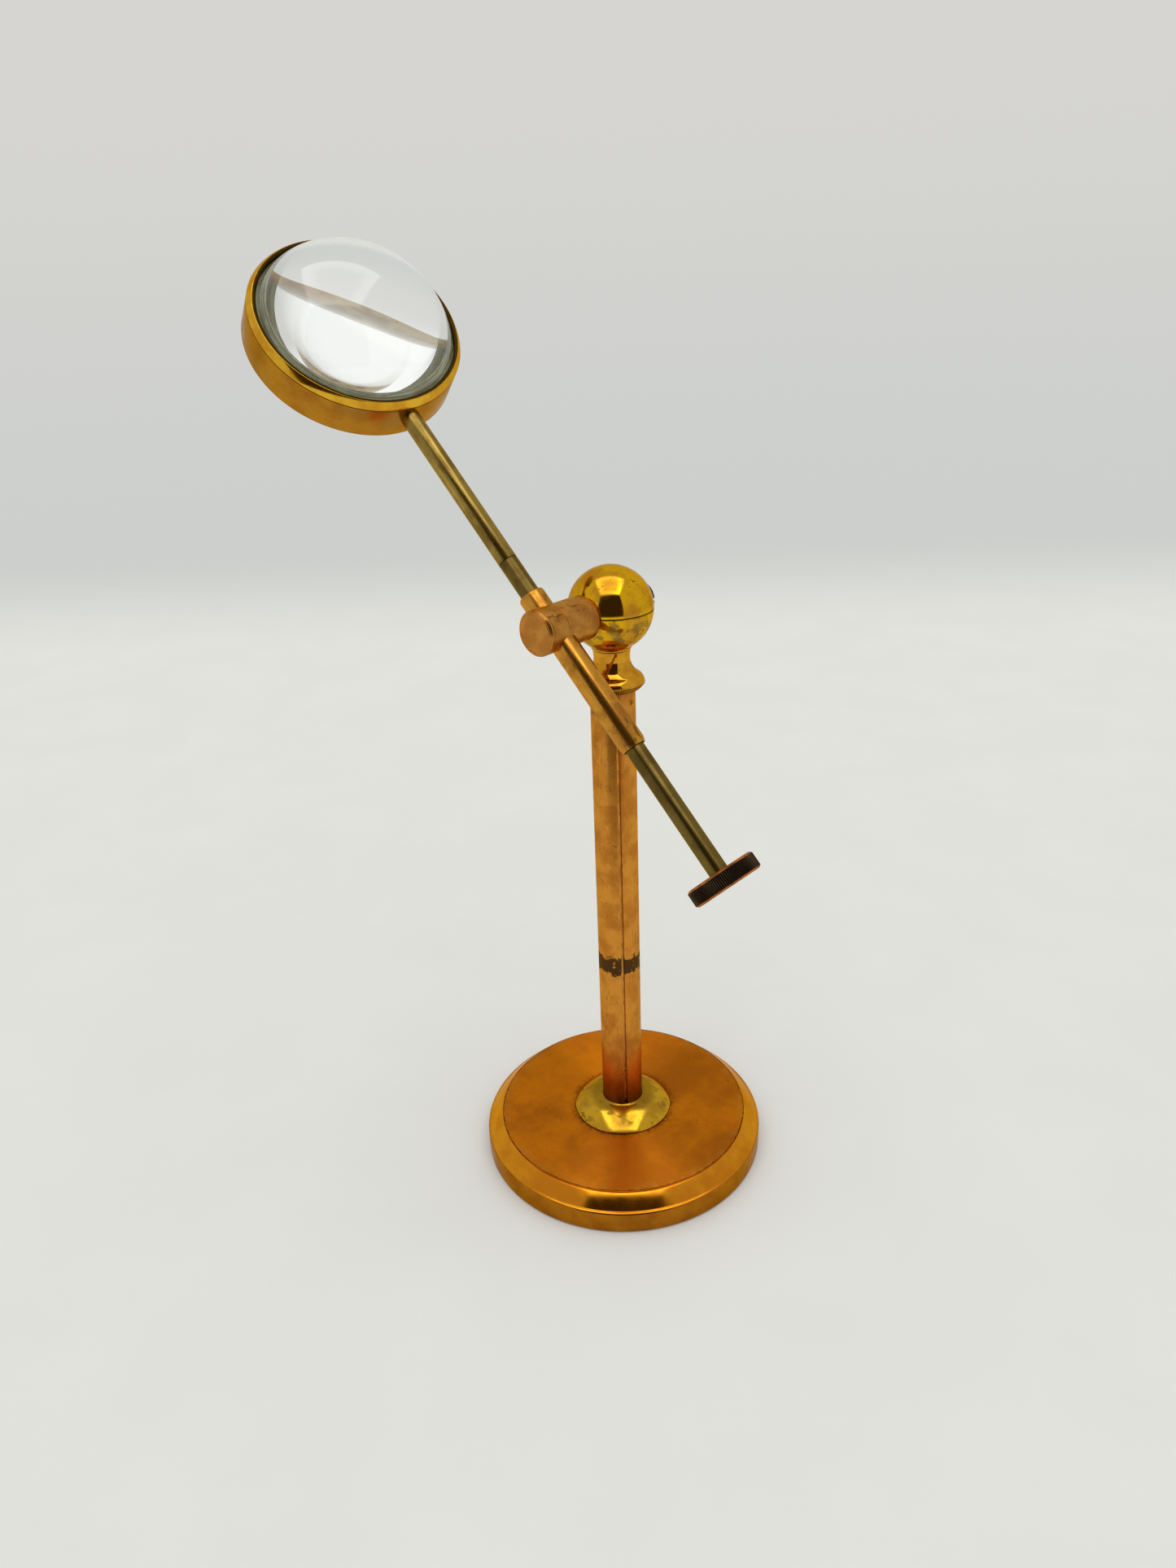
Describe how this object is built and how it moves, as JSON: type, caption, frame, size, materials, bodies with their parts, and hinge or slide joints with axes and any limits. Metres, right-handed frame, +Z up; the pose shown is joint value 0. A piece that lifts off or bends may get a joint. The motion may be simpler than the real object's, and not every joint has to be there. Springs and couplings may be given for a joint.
{
  "type": "bull's-eye condenser on stand",
  "caption": "Plano-convex condenser lens in a brass cell on a sliding, rolling and tilting rod, carried by a ball-topped telescopic pillar on a round turned base.",
  "frame": {"origin": "centre of the base's underside, on the table", "axes": "+Z up along the pillar; the joint's cross shaft lies along Y with the sleeve on its -Y end; the rod rises towards -X with the lens at its upper end"},
  "size_m": [0.1555, 0.0955, 0.2717],
  "materials": {
    "base_lacquer": "circular-brushed lacquered brass",
    "pillar_lacquer": "satin lacquered brass, speckled with age",
    "polished_brass": "bare polished brass",
    "ball_lacquer": "mirror-polished lacquered brass, tarnished below the seam",
    "arm_lacquer": "satin lacquered brass, chipped",
    "dark_brass": "brown tarnished brass, rubbed to gold along the rod",
    "inner_brass": "plain drawn brass",
    "cell_lacquer": "lacquered brass, speckled",
    "bezel_lacquer": "bright lacquered brass",
    "steel": "plain turned steel",
    "lens_glass": "clear polished crown glass with a ground grey edge"
  },
  "bodies": {
    "stand": {"base": "base_lacquer", "foot_plug": "inner_brass", "pillar_collar": "polished_brass", "pillar_tube": "pillar_lacquer"},
    "riser": {"inner_tube": "inner_brass", "riser_plug": "inner_brass", "spindle_washer": "steel", "spindle_screw": "steel"},
    "head": {"neck": "ball_lacquer", "ball_lower": "ball_lacquer", "ball_upper": "ball_lacquer", "ball_pins": "steel"},
    "arm": {"cross_shaft": "steel", "thrust_washer": "inner_brass", "boss_inner": "arm_lacquer", "boss_outer": "arm_lacquer", "boss_screws": "steel", "boss_cap": "arm_lacquer", "spring_washer": "steel", "draw_nut": "dark_brass", "sleeve": "arm_lacquer"},
    "liner": {"spring_liner": "inner_brass"},
    "lens_rod": {"rod": "dark_brass", "knob": "dark_brass", "lens_cell": "cell_lacquer", "bezel_ring": "bezel_lacquer", "lens": "lens_glass"}
  },
  "joints": [
    {"name": "pillar_slide", "type": "slide", "parent": "stand", "child": "riser", "axis": [0, 0, 1], "range_m": [0, 0.095]},
    {"name": "head_swivel", "type": "hinge", "parent": "riser", "child": "head", "pos_m": [0, 0, 0.179], "axis": [0, 0, 1], "continuous": true},
    {"name": "arm_tilt", "type": "hinge", "parent": "head", "child": "arm", "pos_m": [0, 0, 0.179], "axis": [0, 1, 0], "range_deg": [-75, 165]},
    {"name": "rod_roll", "type": "hinge", "parent": "arm", "child": "liner", "pos_m": [0, -0.0224, 0.179], "axis": [-0.7071, 0, 0.7071], "continuous": true},
    {"name": "rod_slide", "type": "slide", "parent": "liner", "child": "lens_rod", "axis": [-0.7071, 0, 0.7071], "range_m": [-0.055, 0.0365]}
  ]
}
